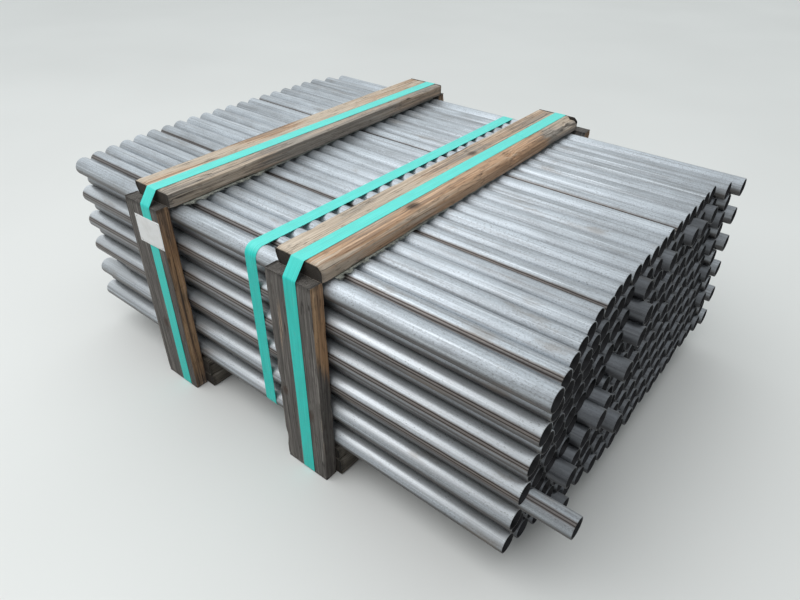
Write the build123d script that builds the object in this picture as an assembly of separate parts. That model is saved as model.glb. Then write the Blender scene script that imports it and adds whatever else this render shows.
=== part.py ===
from build123d import *
import math
import os
import random

os.makedirs("parts", exist_ok=True)

# A bundle of thin-walled steel pipes, stacked in grooves and held by two timber
# collars and three flat straps. Millimetres, +Z up, X along the pipes, -Y the near
# side. The origin is on the floor, in the middle of the bundle's footprint.

# Driving dimensions
pipe_od = 50.8
pipe_wall = 2.1
pipe_length = 1524.0
rows = 11
pipes_in_wide_row = 22
side_gap = 1.0            # between neighbours of one row
contact_gap = 0.3         # between a curved face and what it lies against
slip = 4.0                # how far a pipe's ends usually lie from their row's line

board_width = 140.0
board_thickness = 38.0    # dressed board: uprights, top timbers, one board of a bearer
rough_thickness = 51.0    # rough-sawn board, the other one of each bearer
board_edge = 3.0          # eased edges of a board
top_overhang = 8.0        # how far a top timber laps over each upright
strap_ease = 0.6          # keeps a strap clear of a top timber that lies a little askew

packing_width = 96.0
packing_thickness = 4.7
packing_setback = 29.3    # from each side of the stack to the packing's end

strap_width = 38.0
strap_thickness = 1.2

# Places along X of what crosses the pipes: near end and far end where they differ
collar_left = {"strap": -343.0, "front": -366.0, "back": -372.0, "top": (-348.0, -366.0), "bearer": -333.0}
collar_right = {"strap": 178.0, "front": 170.0, "back": 206.0, "top": (176.0, 170.0), "bearer": 188.0}
middle_strap_x = 6.0

# How far the layers have crept along X, as (bottom row, top row)
near_creep = (-45.0, 0.0)
inner_creep = (5.0, -48.0)
far_creep = (20.0, 0.0)
creep_places = 7          # places in from the near face where the inner creep is reached

# Pipes that stand out past their neighbours, as (row from the floor, place from the near side)
slid_pipes = {
    (4, 1): 112.0,
    (1, 4): 25.0, (4, 3): 40.0, (4, 4): 20.0, (4, 7): 40.0, (5, 5): 22.0, (6, 5): 40.0,
    (6, 6): 30.0, (7, 8): 40.0, (8, 9): 35.0, (9, 10): 35.0, (10, 10): 20.0, (10, 13): 20.0,
    (10, 16): 20.0, (10, 17): 26.0, (10, 19): 20.0,
}

# Worked out from the sizes above
pipe_bore = pipe_od - 2 * pipe_wall
pitch = pipe_od + side_gap
rise = math.sqrt((pipe_od + contact_gap) ** 2 - (pitch / 2) ** 2)
stack_width = (pipes_in_wide_row - 1) * pitch + pipe_od
stack_height = (rows - 1) * rise + pipe_od
bearer_height = board_thickness + rough_thickness
floor_of_wood = strap_thickness
stack_bottom = floor_of_wood + bearer_height + contact_gap
stack_top = stack_bottom + stack_height
upright_inner = stack_width / 2 + contact_gap
upright_outer = upright_inner + board_thickness
wood_top = stack_top + contact_gap + packing_thickness
lid_top = wood_top + board_thickness
lid_half = upright_inner + top_overhang
packing_length = stack_width - 2 * packing_setback


def creep(row, place):
    """How far a pipe has crept with its layer, from its row and its place in it."""
    up = (row - 1) / (rows - 1)
    near, inner, far = (low + (high - low) * up for low, high in (near_creep, inner_creep, far_creep))
    in_front = max(0.0, 1 - (place - 1) / creep_places) ** 1.5
    at_back = max(0.0, 1 - (pipes_in_wide_row - place) / 2)
    return inner + (near - inner) * in_front + (far - inner) * at_back

# How far each pipe lies along X from the middle of the stack's own line
chance = random.Random(22)
slides = {}
for row in range(1, rows + 1):
    for place in range(1, pipes_in_wide_row + row % 2):
        stray = chance.triangular(-slip, slip)
        slides[row, place] = creep(row, place) + slid_pipes.get((row, place), stray)
middle_x = -(max(slides.values()) + min(slides.values())) / 2


def save(node, shape):
    """Write one node, named after its file, with the footprint centred on X = 0."""
    placed = Pos(middle_x, 0, 0) * shape
    placed.label = node
    export_step(placed, f"parts/{node}.step")


def pipe(x, y, z):
    """One pipe along X, open right through, with its middle at x."""
    ring = Circle(pipe_od / 2) - Circle(pipe_bore / 2)
    tube = extrude(Plane.YZ * ring, pipe_length / 2, both=True)
    return Pos(x, y, z) * tube


def row_places(row):
    """Axis places of one row; even rows lie in the grooves and hold one pipe less."""
    count = pipes_in_wide_row - 1 + row % 2
    first = -(count - 1) * pitch / 2
    height = stack_bottom + pipe_od / 2 + (row - 1) * rise
    return [(first + k * pitch, height) for k in range(count)]


def board(length, width, thickness, waney=0.0, undercut=0.0):
    """A board along Y, lying flat on Z = 0, with eased edges.

    waney planes off the upper right edge as on a board cut near the bark;
    undercut leans the left edge inwards below.
    """
    half = width / 2
    outline = Polygon(
        (-half + undercut, 0),
        (half, 0),
        (half, thickness - waney),
        (half - waney, thickness),
        (-half, thickness),
        (-half, thickness * 0.7),
        align=None,
    ) if waney and undercut else Pos(0, thickness / 2) * Rectangle(width, thickness)
    outline = fillet(outline.vertices(), board_edge)
    return extrude(Plane.XZ * outline, length / 2, both=True)


def upright(x, side):
    """A board on end against the near (side = -1) or the far (side = 1) face of the stack."""
    height = wood_top - floor_of_wood
    outline = fillet(Rectangle(board_width, board_thickness).vertices(), board_edge)
    post = extrude(outline, height)
    return Pos(x, side * (upright_inner + board_thickness / 2), floor_of_wood) * post


def band(outline, x):
    """A flat strap that follows a closed outline in the YZ plane."""
    outer = offset(outline, strap_thickness, kind=Kind.ARC)
    loop = extrude(Plane.YZ * (outer - outline), strap_width / 2, both=True)
    return Pos(x, 0, 0) * loop


def collar_outline():
    """What a collar's strap goes round: bearers, both uprights and the top timber."""
    return Polygon(
        (-upright_outer, floor_of_wood),
        (upright_outer, floor_of_wood),
        (upright_outer, wood_top),
        (lid_half + strap_ease, lid_top),
        (-lid_half - strap_ease, lid_top),
        (-upright_outer, wood_top),
        align=None,
    )


def stack_outline():
    """What the middle strap goes round: the pipes alone, with a pipe in each corner."""
    width = stack_width + 2 * contact_gap
    height = stack_height + 2 * contact_gap
    middle = stack_bottom + stack_height / 2
    return Pos(0, middle) * RectangleRounded(width, height, pipe_od / 2 + contact_gap)


# Pipes, one node for each row, counted from the floor
for row in range(1, rows + 1):
    pipes = []
    for place, (y, z) in enumerate(row_places(row), start=1):
        pipes.append(pipe(slides[row, place], y, z))
    save(f"pipe_row_{row:02d}", Compound(children=pipes))

# Two timber collars
for side_name, at, lower, waney in (
    ("left", collar_left, board_thickness, 0.0),
    ("right", collar_right, rough_thickness, 11.0),
):
    upper = bearer_height - lower
    bearer_length = 2 * upright_inner - 2 * contact_gap
    lower_board = board(bearer_length, board_width, lower)
    upper_board = board(bearer_length, board_width, upper)
    save(f"bearer_lower_{side_name}", Pos(at["bearer"], 0, floor_of_wood) * lower_board)
    save(f"bearer_upper_{side_name}", Pos(at["bearer"] - 6, 0, floor_of_wood + lower) * upper_board)
    save(f"upright_front_{side_name}", upright(at["front"], -1))
    save(f"upright_back_{side_name}", upright(at["back"], 1))

    near_x, far_x = at["top"]
    skew = math.degrees(math.atan2(near_x - far_x, 2 * lid_half))
    lid = board(2 * lid_half, board_width, board_thickness, waney, waney * 0.8)
    lid_x = (near_x + far_x) / 2
    save(f"top_timber_{side_name}", Pos(lid_x, 0, wood_top) * Rot(0, 0, skew) * lid)

    packing = Box(packing_width, packing_length, packing_thickness)
    packing_z = stack_top + contact_gap + packing_thickness / 2
    packing_x = lid_x + (board_width - packing_width) / 2
    save(f"packing_strip_{side_name}", Pos(packing_x, 0, packing_z) * Rot(0, 0, skew + 0.6) * packing)

    save(f"strap_{side_name}", band(collar_outline(), at["strap"]))

save("strap_middle", band(stack_outline(), middle_strap_x))

print(f"pitch {pitch:.2f}, rise {rise:.2f}, stack {stack_width:.1f} x {stack_height:.1f}")
print(f"middle line of the stack at X {middle_x:.2f}")
print(f"stack from {stack_bottom:.2f} to {stack_top:.2f}, top timbers to {lid_top:.2f}")
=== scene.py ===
# %% [markdown]
# # A strapped bundle of steel pipes
# 237 short pipes lie in each other's grooves, held by two timber collars and three
# flat green straps. The measured model is loaded first and stays as it is. Each of
# its parts is then dressed with a finer piece in the same place, so nothing has to
# be fitted by eye. Lengths are metres, X runs along the pipes and Z is up.

# %% Load the measured model
import math
import random

import bpy
from mathutils import Matrix, Vector, noise


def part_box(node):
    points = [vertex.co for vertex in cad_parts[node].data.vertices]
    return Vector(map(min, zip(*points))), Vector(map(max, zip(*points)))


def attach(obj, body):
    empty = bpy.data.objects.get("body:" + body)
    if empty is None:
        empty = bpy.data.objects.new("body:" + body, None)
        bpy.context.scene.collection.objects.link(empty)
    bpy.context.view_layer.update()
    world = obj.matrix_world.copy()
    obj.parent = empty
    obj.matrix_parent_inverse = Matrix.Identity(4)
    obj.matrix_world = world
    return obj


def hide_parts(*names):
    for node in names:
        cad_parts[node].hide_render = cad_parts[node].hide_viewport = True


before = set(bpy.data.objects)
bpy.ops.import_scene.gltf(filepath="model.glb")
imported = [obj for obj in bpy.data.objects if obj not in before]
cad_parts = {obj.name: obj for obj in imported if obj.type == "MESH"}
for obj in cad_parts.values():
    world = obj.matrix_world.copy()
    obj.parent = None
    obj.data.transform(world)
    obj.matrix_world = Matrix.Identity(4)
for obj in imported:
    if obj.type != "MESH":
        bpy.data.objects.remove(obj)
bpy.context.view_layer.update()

# %% [markdown]
# A few small helpers are used for every piece. One turns lists of points and faces
# into a mesh object, because the pieces are grown point by point, and stores values
# on the points, which a material can read later. Another gives the piece its material
# and hides the measured parts that it stands for.

# %% Helpers for making a piece
def clamp(value):
    """The value, held between 0 and 1."""
    return max(0.0, min(1.0, value))


def ripple(*place):
    """Smooth noise at a point, up and down round 0."""
    return noise.noise(Vector(place))


def store(mesh, name, values):
    """One number, or one vector of three, kept on each point of the mesh."""
    vectors = isinstance(values[0], Vector)
    layer = mesh.attributes.new(name, "FLOAT_VECTOR" if vectors else "FLOAT", "POINT")
    if vectors:
        layer.data.foreach_set("vector", [c for v in values for c in v])
    else:
        layer.data.foreach_set("value", values)


def make_mesh(name, points, faces, wraps=None, **kept):
    """A smooth mesh object, with its UV map and the values that its material reads."""
    mesh = bpy.data.meshes.new(name)
    mesh.from_pydata(points, [], faces)
    mesh.polygons.foreach_set("use_smooth", [True] * len(mesh.polygons))
    if wraps:
        mesh.uv_layers.new(name="wrap").data.foreach_set("uv", wraps)
    for key, values in kept.items():
        store(mesh, key, values)
    piece = bpy.data.objects.new(name, mesh)
    bpy.context.scene.collection.objects.link(piece)
    return piece


def band(first, second, count):
    """Faces between two rings of points, given the first point of each ring."""
    turns = [(k, (k + 1) % count) for k in range(count)]
    return [(first + k, first + nxt, second + nxt, second + k) for k, nxt in turns]


def settle(piece, finish, material, *stands_for):
    """Give a piece its material, put it under the root body and hide the measured parts it stands for."""
    piece.data.materials.append(material)
    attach(piece, "root")
    if stands_for:
        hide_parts(*stands_for)
    print(piece.name, len(piece.data.polygons), "faces")


# %% [markdown]
# Materials are node graphs. A small wrapper keeps them readable: it makes a node,
# fills in its settings and plugs other nodes' outputs into its inputs. Wherever a
# value is the same all over a surface it is written on the shader itself. Colours
# are given as read from a picture, and turned into the light that Blender counts in.

# %% Helpers for making a material
def colour(red, green, blue):
    """A colour as read from a picture, 0 to 255, turned into linear light."""
    linear = []
    for part in (red, green, blue):
        part /= 255
        linear.append(part / 12.92 if part < 0.04045 else ((part + 0.055) / 1.055) ** 2.4)
    return tuple(linear)


class Graph:
    """The node graph of a material, or of the world, with its main shader."""

    def __init__(self, owner, shader="Principled BSDF"):
        owner.use_nodes = True
        self.owner = owner
        self.tree = owner.node_tree
        self.shader = self.tree.nodes[shader]

    def add(self, kind, inputs=None, **settings):
        """One node; an input's value is a number, a colour or another node's output."""
        made = self.tree.nodes.new("ShaderNode" + kind)
        for key, value in settings.items():
            setattr(made, key, value)
        for key, value in (inputs or {}).items():
            self.feed(made.inputs[key], value)
        return made

    def feed(self, socket, value):
        if isinstance(value, bpy.types.NodeSocket):
            self.tree.links.new(value, socket)
        else:
            socket.default_value = value

    def read(self, attribute, output="Fac"):
        """A value that the mesh carries on its points."""
        return self.add("Attribute", attribute_name=attribute).outputs[output]

    def wrap(self):
        """The way round (or across) a piece and the way along it, from its UV map."""
        uv_map = self.add("UVMap", uv_map="wrap").outputs[0]
        return self.add("SeparateXYZ", {0: uv_map}).outputs[:2]

    def math(self, operation, first, second=0.0):
        return self.add("Math", {0: first, 1: second}, operation=operation).outputs[0]

    def times(self, first, second):
        return self.math("MULTIPLY", first, second)

    def plus(self, first, second):
        return self.math("ADD", first, second)

    def minus(self, first, second):
        return self.math("SUBTRACT", first, second)

    def blend(self, first, first_weight, second, second_weight):
        """Two values added by weight."""
        return self.plus(self.times(first, first_weight), self.times(second, second_weight))

    def step(self, value, low, high):
        """0 below low, 1 above high and a soft rise between."""
        made = self.add("MapRange", {"Value": value, "From Min": low, "From Max": high})
        made.interpolation_type = "SMOOTHSTEP"
        return made.outputs["Result"]

    def fade(self, value, low, high):
        """1 below low, 0 above high and a soft fall between."""
        return self.minus(1.0, self.step(value, low, high))

    def combine(self, *parts):
        """A vector of up to three values, each multiplied by its own number."""
        inputs = {k: self.times(value, factor) for k, (value, factor) in enumerate(parts)}
        return self.add("CombineXYZ", inputs).outputs[0]

    def vector(self, operation, first, second):
        return self.add("VectorMath", {0: first, 1: second}, operation=operation).outputs[0]

    def stretch(self, vector, scale):
        return self.vector("MULTIPLY", vector, scale)

    def noise(self, vector, detail=4.0, rough=0.55):
        inputs = {"Vector": vector, "Scale": 1.0, "Detail": detail, "Roughness": rough}
        return self.add("TexNoise", inputs).outputs["Fac"]

    def speckle(self, scale, detail=4.0, rough=0.55):
        """Noise laid out in the piece's own space."""
        place = self.add("TexCoord").outputs["Object"]
        return self.noise(self.stretch(place, scale), detail, rough)

    def mix(self, factor, first, second, blend="MIX"):
        made = self.add("Mix", data_type="RGBA", blend_type=blend)
        for socket, value in ((0, factor), (6, first), (7, second)):
            self.feed(made.inputs[socket], value)
        return made.outputs[2]

    def stain(self, under, share, strength, picture_colour, blend="MIX"):
        """A plain colour laid over what is there, where the share says so."""
        return self.mix(self.times(share, strength), under, (*colour(*picture_colour), 1), blend)

    def ramp(self, factor, stops):
        """Colours along 0 to 1; a stop is (place, red, green, blue) in linear light."""
        made = self.add("ValToRGB", {"Fac": factor})
        while len(made.color_ramp.elements) < len(stops):
            made.color_ramp.elements.new(0.5)
        for element, (place, *light) in zip(made.color_ramp.elements, stops):
            element.position = place
            element.color = (*light, 1.0)
        return made.outputs["Color"]

    def shades(self, factor, *stops):
        """The same, with the colours as read from a picture."""
        return self.ramp(factor, [(place, *colour(*parts)) for place, *parts in stops])

    def bump(self, height, strength, distance, normal=None):
        inputs = {"Height": height, "Strength": strength, "Distance": distance}
        if normal is not None:
            inputs["Normal"] = normal
        return self.add("Bump", inputs).outputs["Normal"]

    def looked_at(self):
        """1 for what is seen, straight or mirrored, and 0 for the light that falls."""
        path = self.add("LightPath").outputs
        mirrored = self.math("MAXIMUM", path["Is Glossy Ray"], path["Is Transmission Ray"])
        return self.math("MAXIMUM", path["Is Camera Ray"], mirrored)

    def finish(self, base, roughness, relief=None, metallic=0.0):
        """Plug the results into the shader and hand the material back."""
        self.feed(self.shader.inputs["Base Color"], base)
        self.feed(self.shader.inputs["Roughness"], roughness)
        self.feed(self.shader.inputs["Metallic"], metallic)
        if relief is not None:
            self.feed(self.shader.inputs["Normal"], relief)
        return self.owner


def new_material(name):
    return Graph(bpy.data.materials.new(name))


# %% [markdown]
# The pipes are welded from strip: each has a seam along its length, browned by the
# heat, with a thin dark line on either side of the bead. The rest is bare mill
# steel, blue-grey, with faint lengthwise rolling marks and small flecks of scale.
# Light is painted into it as well: a painted highlight along the tops of the near
# pipes, and painted shade on their lower halves, in the bores and on the pipes of
# which only the ends show. A texture that runs round each pipe needs to know the way
# round, so the mesh below carries a UV map (round, along), and every pipe its own
# numbers for tint, seam and painted light.

# %% Mill steel for the pipes
pipe_girth = 0.1596    # round the outside of a pipe


def make_mill_steel():
    g = new_material("mill_steel")
    around, along = g.wrap()
    tint, weld, bore_shade, painted_light = (g.read(name) for name in ("tint", "weld", "bore_shade", "painted_light"))

    def marks(round_scale, along_scale, tint_scale, detail, rough):
        """Noise stretched over the pipe, with another stretch of it for each pipe."""
        place = g.combine((around, round_scale), (along, along_scale), (tint, tint_scale))
        return g.noise(place, detail, rough)

    rolling = marks(34.0, 1.6, 37.0, 5.0, 0.6)
    cloud = marks(5.0, 9.0, 91.0, 4.0, 0.6)
    fleck = marks(72.0, 240.0, 13.0, 3.0, 0.65)
    smudge = marks(3.0, 5.0, 53.0, 5.0, 0.65)

    # How far a point lies from the seam, in metres round the pipe
    turned = g.math("FRACT", g.plus(g.minus(around, g.read("seam")), 0.5))
    from_seam = g.times(g.math("ABSOLUTE", g.minus(turned, 0.5)), pipe_girth)
    from_seam = g.plus(from_seam, g.times(g.minus(cloud, 0.5), 0.003))
    heat = g.times(g.fade(from_seam, 0.0040, 0.0095), weld)
    line = g.times(g.step(from_seam, 0.0014, 0.0026), g.fade(from_seam, 0.0034, 0.0056))
    line = g.times(line, weld)
    bead = g.times(g.fade(from_seam, 0.0004, 0.0022), weld)

    steel = g.shades(
        g.blend(cloud, 0.75, tint, 0.25),
        (0.25, 150, 154, 158), (0.5, 180, 186, 192), (0.78, 204, 211, 218),
    )
    steel = g.stain(steel, g.step(rolling, 0.48, 0.7), 0.55, (124, 122, 122))
    steel = g.stain(steel, g.fade(rolling, 0.32, 0.46), 0.6, (226, 231, 236))
    steel = g.stain(steel, g.step(fleck, 0.55, 0.70), 0.55, (96, 92, 90))
    steel = g.stain(steel, g.fade(fleck, 0.30, 0.43), 0.45, (222, 228, 234))

    # Painted shade darkens each pipe's lower half and the grooves between pipes,
    # and a painted highlight runs along the tops of the near pipes
    under = g.minus(0.5, g.times(g.math("SINE", g.times(around, math.tau)), 0.5))
    under = g.plus(under, g.times(g.minus(cloud, 0.5), 0.25))
    steel = g.stain(steel, g.step(under, 0.33, 0.62), 0.84, (70, 62, 56))
    painted_highlight = g.times(g.step(painted_light, 1.0, 1.3), g.fade(under, 0.10, 0.32))
    steel = g.stain(steel, painted_highlight, 0.38, (244, 246, 248))

    # Scratches, brown smudges, the browned seam, and painted shade within the stack and in the bores
    cell = g.combine((around, 40.0), (along, 90.0), (tint, 71.0))
    from_cell = g.add("TexVoronoi", {"Vector": cell, "Scale": 1.0}).outputs["Distance"]
    scratch = g.times(g.fade(from_cell, 0.10, 0.26), g.step(cloud, 0.45, 0.6))
    steel = g.stain(steel, scratch, 0.5, (70, 66, 62))
    steel = g.stain(steel, g.step(smudge, 0.58, 0.72), 0.4, (132, 118, 104))
    browned = g.shades(rolling, (0.3, 78, 67, 60), (0.55, 112, 99, 90), (0.8, 144, 134, 125))
    steel = g.mix(g.times(heat, 0.8), steel, browned)
    steel = g.stain(steel, line, 0.88, (46, 38, 34))
    # Painted shade: pipes below the top row, most of all those within the stack, turn dark grey
    scale = g.shades(cloud, (0.3, 50, 51, 55), (0.7, 84, 86, 91))
    steel = g.mix(g.times(g.minus(1.0, painted_light), 0.8), steel, scale)
    # Painted shade: the bores and the lips of the sawn ends turn near black
    bore = g.shades(cloud, (0.3, 20, 20, 22), (0.7, 38, 38, 41))
    steel = g.mix(bore_shade, steel, bore)

    relief = g.bump(bead, 0.6, 0.0006)
    relief = g.bump(rolling, 0.35, 0.0004, relief)
    relief = g.bump(fleck, 0.25, 0.0002, relief)
    roughness = g.plus(0.23, g.blend(cloud, 0.2, rolling, 0.24))
    return g.finish(steel, roughness, relief, metallic=0.64)


mill_steel = make_mill_steel()
print("mill steel:", len(mill_steel.node_tree.nodes), "nodes")

# %% [markdown]
# Every pipe is a closed tube: outside, a small lip at each sawn end, and the bore.
# Eleven rows of them could be instances of one tube, but then all seams would lie
# the same way up. One mesh per row is kept instead, as in the measured model, and
# each pipe is read from it, so a pipe that has slid out of line stays slid.

# %% Read where the pipes lie
row_count = 11


def measure_row(row):
    """A row's pipe radius, and the axis (y, z) and both ends of every pipe in it."""
    name = f"pipe_row_{row:02d}"
    low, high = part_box(name)
    radius = (high.z - low.z) / 2
    count = 21 + row % 2
    pitch = (high.y - low.y - 2 * radius) / (count - 1)
    ends = [[math.inf, -math.inf] for _ in range(count)]
    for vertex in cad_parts[name].data.vertices:
        place = round((vertex.co.y - low.y - radius) / pitch)
        place = min(max(place, 0), count - 1)
        ends[place][0] = min(ends[place][0], vertex.co.x)
        ends[place][1] = max(ends[place][1], vertex.co.x)
    height = (low.z + high.z) / 2
    return radius, [(low.y + radius + k * pitch, height, *ends[k]) for k in range(count)]


pipe_rows = {row: measure_row(row) for row in range(1, row_count + 1)}
pipe_radius = pipe_rows[1][0]
print("pipes:", sum(len(pipes) for _, pipes in pipe_rows.values()), "radius", round(pipe_radius, 4))

# %% Build the pipes
pipe_wall = 0.0021
lip = 0.0005
sides = 44

# Seams that show on the near pipes: (row, place) -> angle round the pipe in turns,
# where 0.25 is up and 0.5 is the near side
seen_seams = {
    (11, 2): 0.38, (10, 1): 0.36, (9, 1): 0.46, (7, 1): 0.44,
    (5, 1): 0.47, (4, 1): 0.33, (11, 7): 0.42, (11, 15): 0.43,
}
seam_chance = random.Random(8)


def tube_rings(start, end):
    """(x, radius, share of painted shade) of the rings that a tube's surface runs through."""
    outer, inner = pipe_radius, pipe_radius - pipe_wall
    return [
        (start + lip, outer, 0), (end - lip, outer, 0), (end, outer - lip, 0.35), (end, inner + lip, 0.6),
        (end - lip, inner, 1), (start + lip, inner, 1), (start, inner + lip, 0.6), (start, outer - lip, 0.35),
    ]


def painted_light_of(row, place, count):
    """1 on the top row, above 1 for a painted highlight and below 1 for painted shade."""
    if row == row_count:
        return 1.0
    if place == 1:
        return 0.8 + 0.5 * (row % 2)
    return 0.6 if place == count else 0.0


def build_row(row):
    """One row of pipes as one piece; each pipe has its own tint, seam, weld and painted light."""
    points, faces, wraps = [], [], []
    kept = {name: [] for name in ("tint", "seam", "weld", "bore_shade", "painted_light")}
    pipes = pipe_rows[row][1]
    for place, (y, z, start, end) in enumerate(pipes, start=1):
        tint = seam_chance.random()
        seam = seam_chance.uniform(0.4, 1.15) % 1
        if (row, place) in seen_seams:
            seam, weld = seen_seams[row, place], 1.0
        else:
            weld = seam_chance.choice((0.0, 0.1, 0.3))
        painted_light = painted_light_of(row, place, len(pipes))
        rings = tube_rings(start, end)
        first = len(points)
        for x, radius, bore in rings:
            for k in range(sides):
                angle = math.tau * k / sides
                points.append((x, y + radius * math.cos(angle), z + radius * math.sin(angle)))
            kept["bore_shade"] += [bore] * sides
        for name, value in (("tint", tint), ("seam", seam), ("weld", weld), ("painted_light", painted_light)):
            kept[name] += [value] * sides * len(rings)
        for ring in range(len(rings)):
            after = (ring + 1) % len(rings)
            faces += band(first + ring * sides, first + after * sides, sides)
            x0, x1 = rings[ring][0], rings[after][0]
            for k in range(sides):
                wraps += [k / sides, x0, (k + 1) / sides, x0, (k + 1) / sides, x1, k / sides, x1]
    piece = make_mesh(f"pipes_{row:02d}", points, faces, wraps, **kept)
    settle(piece, "steel", mill_steel, f"pipe_row_{row:02d}")


for row in pipe_rows:
    build_row(row)

# %% [markdown]
# The timbers are sawn boards that have been out in the rain. The grain runs along
# the board, so the material reads a coordinate that the mesh carries: across, up
# and along each board, with a different start for each so that no two look alike.
# The mesh also says where the wood is fresher and orange, where it is bare and
# pale, and where the saw has cut across the grain.

# %% Weathered wood
board_start = Vector((1.7, 0.9, 3.1))    # how far one board's grain lies from the next one's

# Knots: board's number, across, along and radius, in metres from the board's middle
knots = [
    (3, 0.030, -0.085, 0.010), (3, -0.050, -0.050, 0.008), (3, 0.012, 0.190, 0.007),
    (1, -0.020, -0.090, 0.009), (1, 0.035, 0.190, 0.007),
    (5, 0.020, -0.300, 0.011), (6, -0.030, -0.120, 0.009), (6, 0.040, 0.240, 0.010),
]
bearer_knots = [(7, 0.03, 0.2, 0.009), (9, -0.02, -0.3, 0.010)]


def make_weathered_wood(name, greys, oranges, knot_list):
    g = new_material(name)
    grain = g.read("grain", "Vector")
    fresh, pale, sawn = (g.read(key) for key in ("fresh", "pale", "sawn"))

    def lengthwise(scale, detail, rough):
        """Noise drawn out along the grain."""
        return g.noise(g.stretch(grain, scale), detail, rough)

    fibre = lengthwise((340, 340, 8), 5.0, 0.7)
    wide_streak = lengthwise((70, 70, 2.4), 4.0, 0.6)
    narrow_streak = lengthwise((150, 150, 3.0), 4.0, 0.65)
    streak = g.blend(wide_streak, 0.5, narrow_streak, 0.5)
    blotch = lengthwise((16, 16, 7), 4.0, 0.6)
    pit = lengthwise((190, 190, 34), 3.0, 0.6)

    # Knots push the growth lines aside and darken the wood round them
    knot = 0.0
    for board, across, along, radius in knot_list:
        centre = board_start * board + Vector((across, 0, along))
        flat = g.stretch(g.vector("SUBTRACT", grain, tuple(centre)), (1, 0.15, 0.62))
        reach = g.add("VectorMath", {0: flat}, operation="LENGTH").outputs["Value"]
        knot = g.math("MAXIMUM", knot, g.fade(reach, radius * 0.45, radius * 1.9))
    bent = g.vector("ADD", g.stretch(grain, (1, 1, 0.05)), g.combine((knot, 0.012)))
    growth = {"Vector": bent, "Scale": 42.0, "Distortion": 5.0, "Detail": 3.0, "Detail Scale": 1.4}
    figure = g.add("TexWave", growth, bands_direction="X").outputs["Fac"]

    # Drying checks: thin dark lines where a stretched noise crosses its middle
    ridge = g.math("ABSOLUTE", g.minus(lengthwise((46, 46, 1.3), 2.0, 0.5), 0.5))
    check = g.times(g.fade(ridge, 0.003, 0.010), g.step(blotch, 0.46, 0.6))

    grey_stops = [(place, *tone) for place, tone in zip((0.34, 0.42, 0.53, 0.66), greys)]
    orange_stops = [(place, *tone) for place, tone in zip((0.36, 0.5, 0.66), oranges)]
    grey = g.shades(g.blend(streak, 0.5, fibre, 0.5), *grey_stops)
    orange = g.shades(g.blend(streak, 0.7, fibre, 0.3), *orange_stops)
    bare = g.shades(fibre, (0.3, 164, 144, 124), (0.55, 210, 193, 174), (0.8, 232, 220, 206))
    uneven = g.minus(streak, 0.5)
    wood = g.mix(g.step(g.plus(fresh, g.times(uneven, 1.6)), 0.35, 0.75), grey, orange)
    wood = g.mix(g.step(g.plus(pale, g.times(uneven, 1.8)), 0.4, 0.75), wood, bare)
    wood = g.stain(wood, g.step(figure, 0.45, 0.95), 0.2, (96, 78, 62), "MULTIPLY")
    wood = g.stain(wood, g.step(blotch, 0.55, 0.72), 0.3, (86, 84, 76))
    wood = g.stain(wood, g.step(pit, 0.55, 0.70), 0.5, (58, 48, 40))
    wood = g.stain(wood, knot, 0.75, (62, 42, 30))
    wood = g.stain(wood, check, 0.85, (30, 25, 21))

    # Sawn ends: darker, with growth rings round a heart that lies below the board
    heart = g.vector("ADD", g.stretch(grain, (1, 1, 0)), (0.013, -0.055, 0.0))
    growth = {"Vector": heart, "Scale": 75.0, "Distortion": 3.0, "Detail": 2.0}
    end_ring = g.add("TexWave", growth, wave_type="RINGS", rings_direction="Z").outputs["Fac"]
    end_wood = g.shades(
        g.blend(end_ring, 0.35, blotch, 0.65),
        (0.25, 24, 21, 18), (0.55, 48, 42, 36), (0.85, 82, 72, 62),
    )
    wood = g.mix(sawn, wood, end_wood)
    relief = g.bump(g.minus(1.0, check), 0.8, 0.0014)
    relief = g.bump(fibre, 0.8, 0.0012, relief)
    relief = g.bump(pit, 0.4, 0.0008, relief)
    relief = g.bump(figure, 0.2, 0.0006, relief)
    return g.finish(wood, g.plus(0.72, g.times(fibre, 0.25)), relief)


grey_boards = make_weathered_wood(
    "weathered_wood",
    [(88, 78, 70), (138, 128, 118), (170, 161, 151), (208, 201, 190)],
    [(116, 86, 63), (194, 156, 124), (234, 206, 178)],
    knots,
)
# The uprights take a darker copy of the grey wood.
upright_boards = make_weathered_wood(
    "darker_upright_wood",
    [(44, 40, 39), (78, 74, 71), (110, 105, 101), (168, 162, 156)],
    [(112, 84, 62), (192, 150, 112), (230, 198, 160)],
    knots,
)
# The bearers' darker wood is partly damp and partly painted shade, as they lie under the stack.
dark_boards = make_weathered_wood(
    "damp_and_shaded_wood",
    [(62, 57, 52), (104, 98, 90), (134, 128, 118), (170, 164, 153)],
    [(78, 58, 40), (104, 80, 56), (128, 102, 74)],
    bearer_knots,
)
print("wood:", len(grey_boards.node_tree.nodes), "nodes")

# %% [markdown]
# A board could be a box with a bevel, but a weathered one has no straight edge: its
# arrises are eased and chipped, and rain has opened shallow grooves along the grain.
# So the outline is walked round in small steps and repeated along the board, and
# each point is moved a little inwards by noise that is long along the grain. It only
# ever moves inwards, which keeps the board within its measured size.

# %% A helper that saws and weathers a board
outline_step, station_step = 0.0065, 0.013    # between points round and along a board
end_inset = 0.0016                            # how far a sawn end's edge is knocked back
end_rings = (0.985, 0.8, 0.55, 0.3)           # parts of the outline, towards the middle


def ease_corners(outline, radius, spacing):
    """Points round an outline, counter-clockwise, with rounded corners."""
    rounded = []
    count = len(outline)
    for k in range(count):
        before, corner, after = (Vector(outline[(k + s) % count]) for s in (-1, 0, 1))
        to_before, to_after = (before - corner).normalized(), (after - corner).normalized()
        cut = min(radius, (before - corner).length / 2.5, (after - corner).length / 2.5)
        for part in (0.0, 0.25, 0.5, 0.75, 1.0):
            rounded.append(corner + to_before * cut * (1 - part) ** 2 + to_after * cut * part ** 2)
    walked = []
    for k, point in enumerate(rounded):
        after = rounded[(k + 1) % len(rounded)]
        steps = max(1, round((after - point).length / spacing))
        walked += [point.lerp(after, s / steps) for s in range(steps)]
    return walked


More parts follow.
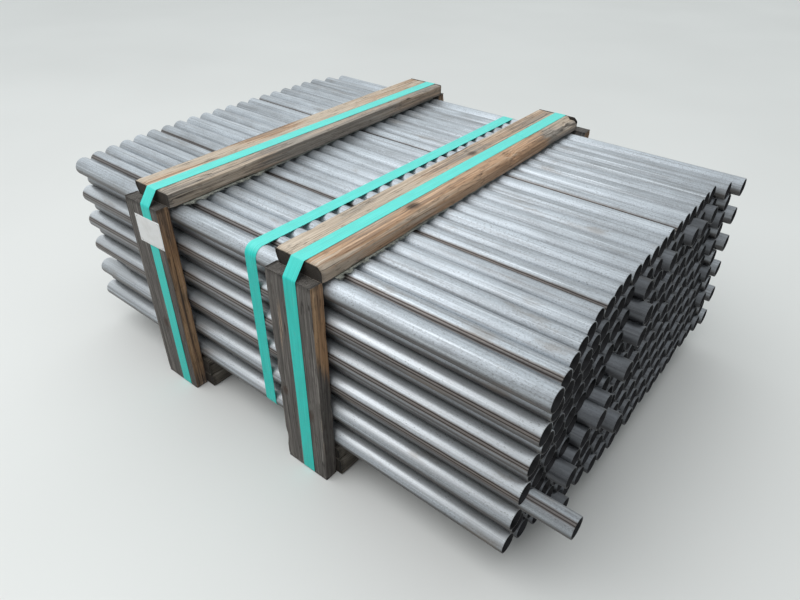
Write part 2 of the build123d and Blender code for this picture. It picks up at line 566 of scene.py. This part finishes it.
def build_board(
    part, number, length, outline, turn, paint, material=grey_boards,
    wear=0.0012, chips=0.0035, edge=0.003, gouge=None, end_shade=1.0,
):
    """A board grown along its own Z, then turned and put in its measured part's place."""
    low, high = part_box(part)
    place = (low + high) / 2
    loop = ease_corners(outline, edge, outline_step)
    around = len(loop)
    normals = []
    for k in range(around):
        run = loop[(k + 1) % around] - loop[k - 1]
        normals.append(Vector((run.y, -run.x)).normalized())
    middle = sum(loop, Vector((0, 0))) / around
    half_across = max(abs(p.x - middle.x) for p in loop)
    half_up = max(abs(p.y - middle.y) for p in loop)
    start = board_start * number
    stations = max(8, round(length / station_step))
    points, faces = [], []
    kept = {name: [] for name in ("grain", "fresh", "pale", "sawn")}

    def add_point(across, up, along, fresh, pale, sawn):
        points.append(turn @ Vector((across, up, along)) + place)
        own = (start + Vector((across, up, along)), fresh, pale, sawn)
        for values, value in zip(kept.values(), own):
            values.append(value)

    def worn_away(point, along):
        """How far rain and knocks have moved a point of the skin inwards."""
        spot = Vector((point.x * 9, point.y * 9, along * 5)) + start
        inward = wear * max(0.0, 0.35 + 0.6 * noise.noise(spot))
        groove = noise.noise(Vector((point.x * 150, point.y * 150, along * 3)) + start)
        inward += wear * 0.7 * max(0.0, groove - 0.15)
        if abs(point.x - middle.x) / half_across > 0.93 and abs(point.y - middle.y) / half_up > 0.8:
            knock = ripple(along * 14, point.x * 5, number * 3.3)
            inward += chips * max(0.0, knock - 0.12) * 2
        if gouge:
            inward += gouge(point.x, point.y, along)
        return inward

    for station in range(stations + 1):
        along = -length / 2 + length * station / stations
        for point, normal in zip(loop, normals):
            inward = worn_away(point, along) + (end_inset if station in (0, stations) else 0.0)
            moved = point - normal * inward
            fresh, pale = paint(point.x, point.y, along, normal)
            add_point(moved.x, moved.y, along, fresh, pale, 0.0)
    for station in range(stations):
        faces += band(station * around, (station + 1) * around, around)

    # The sawn ends: rings that shrink towards the middle, a little rough
    for side, ring_start in ((-1, 0), (1, stations * around)):
        last = ring_start
        for shrink in end_rings:
            new_ring = len(points)
            for point in loop:
                inset = middle + (point - middle) * shrink
                rough = 0.0009 * abs(ripple(inset.x * 60, inset.y * 60, number + side))
                add_point(inset.x, inset.y, side * (length / 2 - rough), 0.0, 0.0, end_shade)
            for k in range(around):
                nxt = (k + 1) % around
                quad = (last + k, new_ring + k, new_ring + nxt, last + nxt)
                faces.append(quad if side == -1 else quad[::-1])
            last = new_ring
        add_point(middle.x, middle.y, side * (length / 2 - 0.0004), 0.0, 0.0, end_shade)
        centre = len(points) - 1
        for k in range(around):
            fan = (last + (k + 1) % around, last + k, centre)
            faces.append(fan if side == -1 else fan[::-1])

    settle(make_mesh(part + "_board", points, faces, **kept), "timber", material, part)


def box_outline(across, up):
    return [(-across / 2, -up / 2), (across / 2, -up / 2), (across / 2, up / 2), (-across / 2, up / 2)]


# %% [markdown]
# Four uprights stand on end against the stack. Their wide faces have gone grey in
# the sun and rain. The sawn sides towards +X kept an orange tan, which is told to
# the material by the direction that each point faces.

# %% The four uprights
standing = Matrix.Identity(3)    # across goes to X, up (the thickness) to Y, length up


def paint_upright(orange_from):
    """Grey faces, a side that turns orange round a given height, and rubbed edges."""
    def paint(x, y, along, normal):
        patch = 0.4 * ripple(x * 25, y * 25, along * 5)
        if normal.x > 0.7:
            rise = clamp((along + 0.5 * patch - orange_from) / 0.22 + 0.5)
            fresh = 0.34 + 0.4 * rise
        else:
            fresh = 0.25 if normal.x < -0.7 else 0.1
        rubbed = abs(normal.x) > 0.25 and abs(normal.y) > 0.25
        return fresh + patch, 0.5 + 1.5 * patch if rubbed else 0.0
    return paint


uprights = ("upright_front_left", "upright_back_left", "upright_front_right", "upright_back_right")
for number, name in enumerate(uprights, start=1):
    low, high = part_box(name)
    size = high - low
    build_board(
        name, number, size.z, box_outline(size.x, size.y), standing,
        paint_upright(0.0 if name == "upright_front_right" else -0.4),
        material=upright_boards, chips=0.005, end_shade=0.35,
    )

# %% [markdown]
# A top timber lies across the pipes and laps onto both uprights. The left one has a
# square section with its lower left edge worn back. The right one was cut near the
# bark: its upper right edge is planed off and its left side leans in below. Both lie
# a little askew, so their direction is worked out from where their ends are.

# %% The two top timbers
board_width, board_thickness = 0.140, 0.038
left_collar_from_middle = 0.366
stack_middle = (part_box("upright_front_left")[0].x + board_width / 2) + left_collar_from_middle
lid_ends = {"left": (-0.348, -0.366), "right": (0.176, 0.170)}    # near and far X from the stack's middle
torn_from = -0.36                                                 # along the right timber, to its far end


def lying(skew):
    """Across goes to X, up stays up, and the board's length goes to -Y."""
    flat = Matrix(((1, 0, 0), (0, 0, -1), (0, 1, 0)))
    return Matrix.Rotation(skew, 3, "Z") @ flat


def left_lid_paint(x, y, along, normal):
    on_top = normal.y > 0.7
    patch = 0.35 * ripple(x * 20, along * 4, 1.0)
    near = clamp((along - 0.15) / 0.35)
    if on_top and x < -0.002:
        return 0.85 + patch, 0.66 + 1.3 * patch
    if on_top or normal.x > 0.3:
        return 0.42 + patch, 0.36 + 0.25 * near + patch
    return 0.25 + patch, 0.1


def right_lid_paint(x, y, along, normal):
    on_top = normal.y > 0.7
    patch = 0.35 * ripple(x * 20, along * 4, 7.0)
    near = clamp((along - 0.1) / 0.4)
    far = clamp((torn_from - along) / 0.1)
    if on_top and x < 0.0:
        return 0.6 + patch, 0.5 + 0.5 * near + patch
    if on_top or normal.x > 0.3:
        return 0.78 + patch - 0.7 * far, 0.3 + 0.16 * near + 0.3 * far + 1.3 * patch
    return 0.25 + patch, 0.1


def bark_gouge(x, y, along):
    """The right timber is torn along its upper right edge: at its far end, and in one chip."""
    if x < 0.038 or y < 0.0:
        return 0.0
    rough = max(0.0, 0.4 + ripple(along * 38, y * 60, 4.0))
    tear = clamp((torn_from - along) / 0.12) * 0.010
    chip = max(0.0, 1.0 - abs(along + 0.19) / 0.035) * 0.014
    wane = 0.003 * max(0.0, ripple(along * 22, 9.0, 2.0))
    return max(tear, chip, wane) * (0.4 + rough)


half, up = board_width / 2, board_thickness / 2
lid_outlines = {
    "left": [(-half + 0.009, -up), (half, -up), (half, up), (-half, up), (-half, up - 0.014)],
    "right": [
        (-half + 0.0088, -up), (half, -up), (half, up - 0.011),
        (half - 0.011, up), (-half, up), (-half, up * 0.4),
    ],
}
lids = ((5, "left", left_lid_paint, None), (6, "right", right_lid_paint, bark_gouge))
for number, side, paint, gouge in lids:
    name = "top_timber_" + side
    low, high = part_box(name)
    near_x, far_x = lid_ends[side]
    length = (high.y - low.y) - 0.0024
    turn = lying(math.atan2(near_x - far_x, length))
    build_board(name, number, length, lid_outlines[side], turn, paint, gouge=gouge, edge=0.004)

# %% [markdown]
# Each bearer is two boards on top of each other, a dressed one and a rough-sawn one.
# They lie in the shade and the damp, so the same helper is used with a darker wood.

# %% The bearers
def bearer_paint(x, y, along, normal):
    return 0.15, 0.0


bearers = ("bearer_lower_left", "bearer_upper_left", "bearer_lower_right", "bearer_upper_right")
for number, name in enumerate(bearers, start=7):
    low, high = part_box(name)
    size = high - low
    build_board(
        name, number, size.y, box_outline(size.x, size.z), lying(0.0), bearer_paint,
        material=dark_boards, wear=0.0016,
    )

# %% [markdown]
# The straps are flat green plastic, pulled tight. Woven webbing would sag, but this
# strap is stiff and shows sharp bends at the timbers' edges. It is pressed with a
# fine diamond pattern, which the material adds as relief. It shines softly, and a
# painted reflection of the sky lightens it where it faces up.

# %% Green strap plastic
diamond_scale = 2400.0


def make_strap_plastic():
    g = new_material("green_strap")
    across, along = g.wrap()
    flow = g.noise(g.combine((across, 900.0), (along, 6.0)), 3.0)
    haze = g.noise(g.combine((across, 30.0), (along, 14.0)))
    green = g.shades(
        g.blend(flow, 0.7, haze, 0.3),
        (0.3, 4, 196, 182), (0.5, 10, 217, 204), (0.7, 60, 236, 225),
    )
    upward = g.add("SeparateXYZ", {0: g.add("NewGeometry").outputs["Normal"]}).outputs["Z"]
    # Painted reflection of the sky: faces that look up turn towards pale white
    painted_sky_sheen = g.times(g.step(upward, 0.3, 0.95), g.plus(0.07, g.times(flow, 0.12)))
    green = g.stain(green, painted_sky_sheen, 1.0, (222, 250, 250))
    green = g.stain(green, g.step(haze, 0.62, 0.78), 0.22, (120, 150, 138))
    slant = g.math("SINE", g.times(g.plus(across, along), diamond_scale))
    other = g.math("SINE", g.times(g.minus(across, along), diamond_scale))
    relief = g.bump(g.times(slant, other), 0.35, 0.00025)
    relief = g.bump(flow, 0.15, 0.0003, relief)
    return g.finish(green, g.plus(0.3, g.times(haze, 0.25)), relief)


strap_plastic = make_strap_plastic()

# %% [markdown]
# A strap's path is a closed loop in the YZ plane. Corners are rounded a little,
# because the plastic can't fold sharply, and the cross-section is repeated along the
# path. Each strap is a thin closed shell, so that its edge catches the light.

# %% A helper that lays a strap
strap_width, strap_skin = 0.038, 0.0006
strap_cup, strap_edge = 0.00012, 0.0001    # how far the middle and the edges sink in
across_steps = 8


def round_path(corners, radii, arc_steps=6, spacing=0.02):
    """Points along a closed path in Y and Z with a given radius at each corner."""
    count = len(corners)
    arcs = []
    for k in range(count):
        before, corner, after = (Vector(corners[(k + s) % count]) for s in (-1, 0, 1))
        back, on = (before - corner).normalized(), (after - corner).normalized()
        half_angle = math.acos(max(-1.0, min(1.0, back.dot(on)))) / 2
        cut = radii[k] / math.tan(half_angle)
        centre = corner + (back + on).normalized() * radii[k] / math.sin(half_angle)
        begin, end = corner + back * cut - centre, corner + on * cut - centre
        turn = math.atan2(begin.x * end.y - begin.y * end.x, begin.dot(end))
        arc = []
        for s in range(arc_steps + 1):
            cos, sin = math.cos(turn * s / arc_steps), math.sin(turn * s / arc_steps)
            arc.append(centre + Vector((begin.x * cos - begin.y * sin, begin.x * sin + begin.y * cos)))
        arcs.append(arc)
    walked = []
    for k, arc in enumerate(arcs):
        walked += arc
        after = arcs[(k + 1) % count][0]
        steps = max(1, round((after - arc[-1]).length / spacing))
        walked += [arc[-1].lerp(after, s / steps) for s in range(1, steps)]
    return walked


def lay_strap(name, x, path, closed=True, lift=0.0, skin=strap_skin):
    """A flat strap that follows (y, z) points, with its middle line at x."""
    count = len(path)
    joins = count if closed else count - 1
    ring = 2 * (across_steps + 1)
    points, faces, wraps = [], [], []
    runs = [0.0]
    for k in range(joins):
        runs.append(runs[-1] + (path[(k + 1) % count] - path[k]).length)
    for k, point in enumerate(path):
        before = path[k - 1] if closed or k else point
        after = path[(k + 1) % count] if closed or k + 1 < count else point
        tangent = (after - before).normalized()
        outward = Vector((tangent.y, -tangent.x))
        sway = 0.0006 * ripple(runs[k] * 6, x * 9, 1.0)
        for side, height in ((1, lift + skin), (-1, lift)):
            for s in range(across_steps + 1):
                part = s / across_steps * 2 - 1
                sunk = 0.0
                if side == 1:
                    sunk = strap_cup * (1 - part * part) + (strap_edge if s in (0, across_steps) else 0.0)
                spot = point + outward * (height - sunk)
                points.append((x + sway + part * strap_width / 2 * side, spot.x, spot.y))

    def place_across(s):
        return (s if s <= across_steps else ring - 1 - s) / across_steps * strap_width

    for k in range(joins):
        a, b = k * ring, ((k + 1) % count) * ring
        begin, end = runs[k], runs[k + 1]
        for s in range(ring):
            t = (s + 1) % ring
            faces.append((a + s, b + s, b + t, a + t))
            place_s, place_t = place_across(s), place_across(t)
            wraps += [place_s, begin, place_s, end, place_t, end, place_t, begin]
    if not closed:
        for base, flip in ((0, False), ((count - 1) * ring, True)):
            cap = [base + s for s in range(ring)]
            faces.append(cap[::-1] if flip else cap)
            wraps += [0.0, 0.0] * ring
    piece = make_mesh(name, points, faces, wraps)
    piece.data.set_sharp_from_angle(angle=math.radians(40))
    return piece


# %% The two collar straps
lid_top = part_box("top_timber_right")[1].z
lid_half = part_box("top_timber_right")[1].y
wood_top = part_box("upright_front_right")[1].z
wood_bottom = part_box("bearer_lower_right")[0].z
upright_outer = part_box("upright_back_right")[1].y
strap_places = {}
for side in ("left", "middle", "right"):
    low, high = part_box("strap_" + side)
    strap_places[side] = (low.x + high.x) / 2

collar_corners = [
    (-upright_outer, wood_bottom), (upright_outer, wood_bottom), (upright_outer, wood_top),
    (lid_half + 0.0006, lid_top), (-lid_half - 0.0006, lid_top), (-upright_outer, wood_top),
]
collar_path = round_path(collar_corners, [0.003, 0.003, 0.010, 0.003, 0.003, 0.010])
for side in ("left", "right"):
    strap = lay_strap(f"strap_{side}_band", strap_places[side], collar_path, lift=0.0001)
    settle(strap, "strap", strap_plastic, "strap_" + side)
collar_length = sum((b - a).length for a, b in zip(collar_path, collar_path[1:] + collar_path[:1]))
print("collar strap length", round(collar_length, 3))

# %% [markdown]
# The middle strap goes round the pipes alone. It bends over the four corner pipes
# and bridges the grooves between the others in a straight line, as a tight strap does.

# %% The middle strap
row_low, row_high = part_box("pipe_row_11")
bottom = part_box("pipe_row_01")[0].z
gap = 0.0003
stack_corners = [
    (row_low.y - gap, bottom - gap), (row_high.y + gap, bottom - gap),
    (row_high.y + gap, row_high.z + gap), (row_low.y - gap, row_high.z + gap),
]
stack_path = round_path(stack_corners, [pipe_radius + gap] * 4, arc_steps=14)
strap = lay_strap("strap_middle_band", strap_places["middle"], stack_path)
settle(strap, "strap", strap_plastic, "strap_middle")

# %% [markdown]
# Where a strap's ends meet, one lies over the other and the two are melted together.
# On the right collar that lap shows as a faint step on top of the timber, near its
# far end. It is a second, short strap lying on the first.

# %% The lap on the right collar
lap_far, lap_step, lap_points = 0.545, 0.015, 16
lap_path = [Vector((lap_far - lap_step * k, lid_top)) for k in range(lap_points)]
lap = lay_strap(
    "strap_right_lap", strap_places["right"] + 0.0012, lap_path,
    closed=False, lift=strap_skin + 0.0001, skin=0.0004,
)
settle(lap, "strap", strap_plastic)

# %% [markdown]
# Under each top timber lies a strip of grey fibre packing. Only its right edge can be
# seen, frayed into loose fibres. It is a flat sheet with an uneven outline, and a
# fringe of fine spikes that stay within the strip's measured thickness.

# %% Fibre packing
half_width = 0.0475
fibre_count = 2000


def make_fibre():
    g = new_material("fibre_packing")
    strands = g.speckle((240, 900, 400), 4.0, 0.7)
    dirt = g.speckle((30, 30, 30), 3.0)
    shade = g.shades(
        g.blend(strands, 0.6, dirt, 0.4),
        (0.3, 150, 152, 142), (0.5, 196, 198, 188), (0.75, 230, 231, 222),
    )
    return g.finish(shade, 0.95, g.bump(strands, 0.8, 0.001))


fibre = make_fibre()
fray_chance = random.Random(31)


def weave_strip(put, length, base, thick, seed):
    """Faces of a closed sheet whose right edge is ragged."""
    rows, columns = 240, 9
    faces = []
    grid = {}
    for layer in (0, 1):
        for r in range(rows + 1):
            y = -length / 2 + length * r / rows
            ragged = 0.002 + 0.007 * abs(ripple(y * 45, 3.0, seed)) + 0.003 * abs(ripple(y * 230, 7.0, seed))
            for c in range(columns + 1):
                part = c / columns
                x = -half_width + 0.002 + (2 * half_width - 0.002 - ragged) * part
                swell = max(0.0, thick * (0.16 + 0.14 * ripple(x * 60, y * 60, layer * 5.0)))
                z = base + (thick - swell if layer else swell * 0.4)
                if c in (0, columns):
                    z = base + thick * (0.62 if layer else 0.3)
                grid[layer, r, c] = put(x, y, z)
    for r in range(rows):
        for c in range(columns):
            faces.append((grid[1, r, c], grid[1, r, c + 1], grid[1, r + 1, c + 1], grid[1, r + 1, c]))
            faces.append((grid[0, r, c], grid[0, r + 1, c], grid[0, r + 1, c + 1], grid[0, r, c + 1]))
        for c, flip in ((0, True), (columns, False)):
            side_face = (grid[0, r, c], grid[0, r + 1, c], grid[1, r + 1, c], grid[1, r, c])
            faces.append(side_face[::-1] if flip else side_face)
    for c in range(columns):
        faces.append((grid[0, 0, c], grid[0, 0, c + 1], grid[1, 0, c + 1], grid[1, 0, c]))
        faces.append((grid[0, rows, c + 1], grid[0, rows, c], grid[1, rows, c], grid[1, rows, c + 1]))
    return faces


def fray_edge(put, length, base, thick, seed):
    """Faces of loose fibres, more of them and longer towards the near end."""
    faces = []
    corners = [(math.cos(turn), math.sin(turn)) for turn in (0.0, 2.1, 4.2)]
    for _ in range(fibre_count):
        y = (fray_chance.random() ** 1.5 - 0.5) * 0.994 * length
        near_end = clamp((-y - 0.12) / 0.25)
        tuft = 0.45 + 1.3 * abs(ripple(y * 55, 1.0, seed))
        short = fray_chance.uniform(0.004, 0.0095)
        reach = tuft * (short + fray_chance.uniform(0.2, 1.0) * 0.017 * near_end)
        lean = fray_chance.uniform(-0.006, 0.006)
        z = base + thick * fray_chance.uniform(0.3, 0.75)
        dip = thick * fray_chance.uniform(-0.12, 0.12)
        x = half_width - 0.0105
        wide = fray_chance.uniform(0.0004, 0.0008)
        root, knee = (
            [
                put(x + reach * part, y + lean * part + wide * cos, z + dip * part + wide * sin)
                for cos, sin in corners
            ]
            for part in (0.0, 0.6)
        )
        tip = put(x + reach, y + lean, z + dip * 1.4)
        faces.append(tuple(root))
        for k in range(3):
            nxt = (k + 1) % 3
            faces += [(root[k], knee[k], knee[nxt], root[nxt]), (knee[k], tip, knee[nxt])]
    return faces


def lay_packing(side):
    """The strip and its fringe, laid askew like the timber above them."""
    name = "packing_strip_" + side
    low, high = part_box(name)
    near_x, far_x = lid_ends[side]
    length = high.y - low.y - 0.004
    skew = math.atan2(near_x - far_x, 2 * lid_half) + math.radians(0.6)
    cos, sin = math.cos(skew), math.sin(skew)
    middle = (low + high) / 2

    def make(piece_name, shape):
        points = []

        def put(x, y, z):
            points.append((middle.x + x * cos - y * sin, middle.y + x * sin + y * cos, z))
            return len(points) - 1

        faces = shape(put, length, low.z, high.z - low.z, middle.x)
        return make_mesh(piece_name, points, faces)

    piece = make(name + "_fibre", weave_strip)
    settle(piece, "packing", fibre, name)
    fringe = make(f"packing_fringe_{side}", fray_edge)
    settle(fringe, "packing", fibre)


for side in ("left", "right"):
    lay_packing(side)

# %% [markdown]
# A bare paper tag is stapled to the near left upright, over the strap. It is a thin
# sheet that rises where the strap passes under it, held by four staples.

# %% The tag
tag_width, tag_height, tag_thickness = 0.108, 0.080, 0.00012
tag_low = Vector((strap_places["left"] - 0.0600, -upright_outer, wood_top - 0.118))


def make_tag_paper():
    g = new_material("tag_paper")
    smudge = g.speckle((24, 24, 24))
    crease = g.speckle((60, 60, 40), 2.0)
    white = g.shades(smudge, (0.25, 234, 233, 230), (0.5, 250, 250, 250), (0.8, 254, 254, 254))
    return g.finish(white, 0.35, g.bump(crease, 0.3, 0.001))


def tag_point(across, up, behind=0.0):
    """A point of the tag: it leans out over the strap and back to the wood."""
    x = tag_low.x + across * tag_width
    over_strap = clamp((0.027 - abs(x - strap_places["left"])) / 0.008)
    curl = 0.00025 * ripple(across * 4, up * 4, 2.0)
    out = 0.00015 + 0.00075 * over_strap + max(0.0, curl) - behind
    return (x, tag_low.y - out, tag_low.z + up * tag_height + 0.004 * across)


def make_tag(steps_across=28, steps_up=30):
    """Two layers of points, a front and a back, joined round the rim."""
    points, faces = [], []
    for behind in (0.0, tag_thickness):
        for r in range(steps_up + 1):
            for c in range(steps_across + 1):
                points.append(tag_point(c / steps_across, r / steps_up, behind))
    width, layer = steps_across + 1, (steps_across + 1) * (steps_up + 1)
    for r in range(steps_up):
        for c in range(steps_across):
            a = r * width + c
            faces.append((a, a + 1, a + 1 + width, a + width))
            faces.append((layer + a, layer + a + width, layer + a + 1 + width, layer + a + 1))
    rim = list(range(width)) + [r * width + steps_across for r in range(1, steps_up + 1)]
    rim += [steps_up * width + c for c in range(steps_across - 1, -1, -1)]
    rim += [r * width for r in range(steps_up - 1, 0, -1)]
    for k, a in enumerate(rim):
        b = rim[(k + 1) % len(rim)]
        faces.append((b, a, layer + a, layer + b))
    return make_mesh("tag_sheet", points, faces)


settle(make_tag(), "packing", make_tag_paper())

# %% The staples
half_staple, wire_half, wire_flat = 0.0055, 0.0004, 0.00012
wire_sides = 6

# Across the tag and up it, as parts of its size, and the staple's tilt
staple_places = ((0.08, 0.93, 0.7), (0.93, 0.92, -0.6), (0.07, 0.08, -0.5), (0.92, 0.07, 0.8))


def make_staple_wire():
    g = new_material("staple_wire")
    tarnish = g.speckle((700, 700, 700), 3.0)
    wire = g.shades(tarnish, (0.35, 96, 84, 72), (0.65, 150, 148, 145))
    return g.finish(wire, g.plus(0.3, g.times(tarnish, 0.3)), metallic=0.8)


def press_staple(number, across, up, tilt):
    """A flattened wire across the paper, with both legs bent into the wood."""
    x, y, z = tag_point(across, up)
    points, faces = [], []
    back = [(1.0, 0.0016), (1.0, 0.0), (0.5, -0.0002)]
    run = [(-part, depth) for part, depth in back] + [(0.0, -0.00022)] + back[::-1]
    for part, depth in run:
        along = half_staple * part
        for k in range(wire_sides):
            angle = math.tau * k / wire_sides
            side, lift = wire_half * math.sin(angle), wire_flat * math.cos(angle)
            points.append((
                x + along * math.cos(tilt) - side * math.sin(tilt),
                y + depth + lift,
                z + along * math.sin(tilt) + side * math.cos(tilt),
            ))
    for ring in range(len(run) - 1):
        faces += band(ring * wire_sides, (ring + 1) * wire_sides, wire_sides)
    last = (len(run) - 1) * wire_sides
    faces += [tuple(range(wire_sides - 1, -1, -1)), tuple(range(last, last + wire_sides))]
    settle(make_mesh(f"tag_staple_{number}", points, faces), "steel", staple_wire)


staple_wire = make_staple_wire()
for number, (across, up, tilt) in enumerate(staple_places, start=1):
    press_staple(number, across, up, tilt)

# %% [markdown]
# The picture is taken in a plain studio: a pale floor, an even pale surround and one
# large soft lamp above and in front, which draws the long soft highlights on the
# pipes. What is looked at is pale, but the light that falls on the bundle comes from
# above and the left, so that its undersides stay dark.

# %% Floor and light
floor_reach = 30.0
sky_direction = (-0.42, 0.05, 0.9)


def make_floor():
    g = new_material("studio_floor")
    cloud = g.speckle((0.7, 0.7, 0.7), 2.0)
    pale = g.ramp(cloud, [(0.3, 0.74, 0.735, 0.72), (0.7, 0.78, 0.775, 0.76)])
    ground = g.finish(g.mix(g.looked_at(), (0.34, 0.33, 0.31, 1), pale), 0.9)
    corners = [(x * floor_reach, y * floor_reach, 0) for x, y in ((-1, -1), (1, -1), (1, 1), (-1, 1))]
    floor = make_mesh("studio_floor", corners, [(0, 1, 2, 3)])
    floor.data.materials.append(ground)


def shade_surround():
    """An even pale surround to look at, and light from above and the left."""
    world = bpy.data.worlds.new("studio")
    bpy.context.scene.world = world
    g = Graph(world, "Background")
    towards = g.add("VectorMath", operation="DOT_PRODUCT")
    g.feed(towards.inputs[0], g.add("TexCoord").outputs["Generated"])
    g.feed(towards.inputs[1], sky_direction)
    height = towards.outputs["Value"]
    falling = g.ramp(height, [(0.10, 0.08, 0.08, 0.085), (0.86, 0.93, 0.99, 1.0)])
    seen = g.ramp(height, [(0.10, 0.40, 0.40, 0.40), (0.86, 0.94, 0.99, 1.01)])
    g.feed(g.shader.inputs["Color"], g.mix(g.looked_at(), falling, seen))
    g.shader.inputs["Strength"].default_value = 1.2


make_floor()
shade_surround()
lamp_place, lamp_aim = Vector((-0.5, -2.1, 4.0)), Vector((0.0, 0.0, 0.3))
lamp_data = bpy.data.lights.new("soft_above", "AREA")
lamp_data.size = 4.4
lamp_data.energy = 80.0
lamp = bpy.data.objects.new("soft_above", lamp_data)
bpy.context.scene.collection.objects.link(lamp)
lamp.location = lamp_place
lamp.rotation_mode = "QUATERNION"
lamp.rotation_quaternion = (lamp_aim - lamp_place).to_track_quat("-Z", "Y")

# %% [markdown]
# The camera sees the bundle from the same side, height and distance as the
# photograph does. Its place is given from the middle of the stack.

# %% Camera
camera_data = bpy.data.cameras.new("camera")
camera = bpy.data.objects.new("camera", camera_data)
bpy.context.scene.collection.objects.link(camera)
bpy.context.scene.camera = camera
camera_data.sensor_width = 36.0
camera_data.lens = 28.53
azimuth, elevation, roll = math.radians(38.73), math.radians(35.17), math.radians(0.52)
flat = math.cos(elevation)
ahead = Vector((-math.sin(azimuth) * flat, math.cos(azimuth) * flat, -math.sin(elevation)))
level = Vector((math.cos(azimuth), math.sin(azimuth), 0.0))
above = level.cross(ahead)
right = level * math.cos(roll) + above * math.sin(roll)
above = above * math.cos(roll) - level * math.sin(roll)
camera.rotation_mode = "QUATERNION"
camera.rotation_quaternion = Matrix((right, above, -ahead)).transposed().to_quaternion()
camera.location = (stack_middle + 1.0401, -1.3153, 1.3069)
bpy.context.scene.view_settings.view_transform = "Standard"
print("camera at", tuple(round(c, 3) for c in camera.location))
